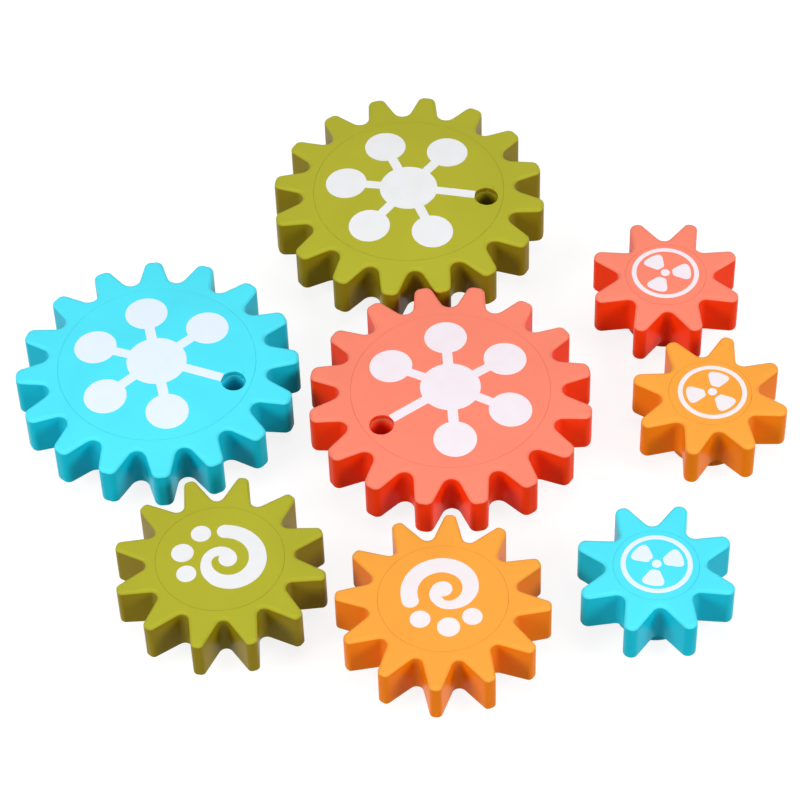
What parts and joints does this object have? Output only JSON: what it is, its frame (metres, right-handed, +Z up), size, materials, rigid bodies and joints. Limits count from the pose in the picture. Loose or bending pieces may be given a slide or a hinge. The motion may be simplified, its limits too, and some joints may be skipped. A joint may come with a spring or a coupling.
{
  "type": "toy gear set",
  "caption": "Loose moulded plastic toy gears in large, medium and small sizes, each turning on its own round foot; the large ones have an off-centre crank hole.",
  "frame": {"origin": "centre of the underside of the large red gear's foot, on the table", "axes": "+Z up along every gear's axis, +X to the right and +Y away from the viewer as the set is laid out"},
  "size_m": [0.2899, 0.2921, 0.0282],
  "materials": {
    "green_plastic": "satin moulded plastic",
    "cyan_plastic": "satin moulded plastic",
    "red_plastic": "satin moulded plastic",
    "orange_plastic": "satin moulded plastic",
    "magnet": "dull ferrite",
    "steel": "zinc plated"
  },
  "bodies": {
    "feet": {"large_red_foot": "red_plastic", "large_red_cover": "red_plastic", "large_green_foot": "green_plastic", "large_green_cover": "green_plastic", "large_cyan_foot": "cyan_plastic", "large_cyan_cover": "cyan_plastic", "medium_orange_foot": "orange_plastic", "medium_orange_cover": "orange_plastic", "medium_green_foot": "green_plastic", "medium_green_cover": "green_plastic", "small_red_foot": "red_plastic", "small_red_cover": "red_plastic", "small_orange_foot": "orange_plastic", "small_orange_cover": "orange_plastic", "small_cyan_foot": "cyan_plastic", "small_cyan_cover": "cyan_plastic", "magnets": "magnet", "washers": "steel", "screws": "steel"},
    "large_red_gear": {"large_red_wheel": "red_plastic", "large_red_face": "red_plastic"},
    "large_green_gear": {"large_green_wheel": "green_plastic", "large_green_face": "green_plastic"},
    "large_cyan_gear": {"large_cyan_wheel": "cyan_plastic", "large_cyan_face": "cyan_plastic"},
    "medium_orange_gear": {"medium_orange_wheel": "orange_plastic", "medium_orange_face": "orange_plastic"},
    "medium_green_gear": {"medium_green_wheel": "green_plastic", "medium_green_face": "green_plastic"},
    "small_red_gear": {"small_red_wheel": "red_plastic", "small_red_face": "red_plastic"},
    "small_orange_gear": {"small_orange_wheel": "orange_plastic", "small_orange_face": "orange_plastic"},
    "small_cyan_gear": {"small_cyan_wheel": "cyan_plastic", "small_cyan_face": "cyan_plastic"}
  },
  "joints": [
    {"name": "large_red_spin", "type": "hinge", "parent": "feet", "child": "large_red_gear", "pos_m": [0, 0, 0.0124], "axis": [0, 0, 1], "continuous": true},
    {"name": "large_green_spin", "type": "hinge", "parent": "feet", "child": "large_green_gear", "pos_m": [-0.01262, 0.10353, 0.0124], "axis": [0, 0, 1], "continuous": true},
    {"name": "large_cyan_spin", "type": "hinge", "parent": "feet", "child": "large_cyan_gear", "pos_m": [-0.11063, 0.01812, 0.0124], "axis": [0, 0, 1], "continuous": true},
    {"name": "medium_orange_spin", "type": "hinge", "parent": "feet", "child": "medium_orange_gear", "pos_m": [-0.00634, -0.09669, 0.0124], "axis": [0, 0, 1], "continuous": true},
    {"name": "medium_green_spin", "type": "hinge", "parent": "feet", "child": "medium_green_gear", "pos_m": [-0.0861, -0.07524, 0.0124], "axis": [0, 0, 1], "continuous": true},
    {"name": "small_red_spin", "type": "hinge", "parent": "feet", "child": "small_red_gear", "pos_m": [0.08539, 0.0545, 0.0124], "axis": [0, 0, 1], "continuous": true},
    {"name": "small_orange_spin", "type": "hinge", "parent": "feet", "child": "small_orange_gear", "pos_m": [0.09719, -0.00565, 0.0124], "axis": [0, 0, 1], "continuous": true},
    {"name": "small_cyan_spin", "type": "hinge", "parent": "feet", "child": "small_cyan_gear", "pos_m": [0.07073, -0.08531, 0.0124], "axis": [0, 0, 1], "continuous": true}
  ],
  "couplings": [
    {"joint": "large_green_spin", "follows": "large_red_spin", "ratio": -1}
  ]
}
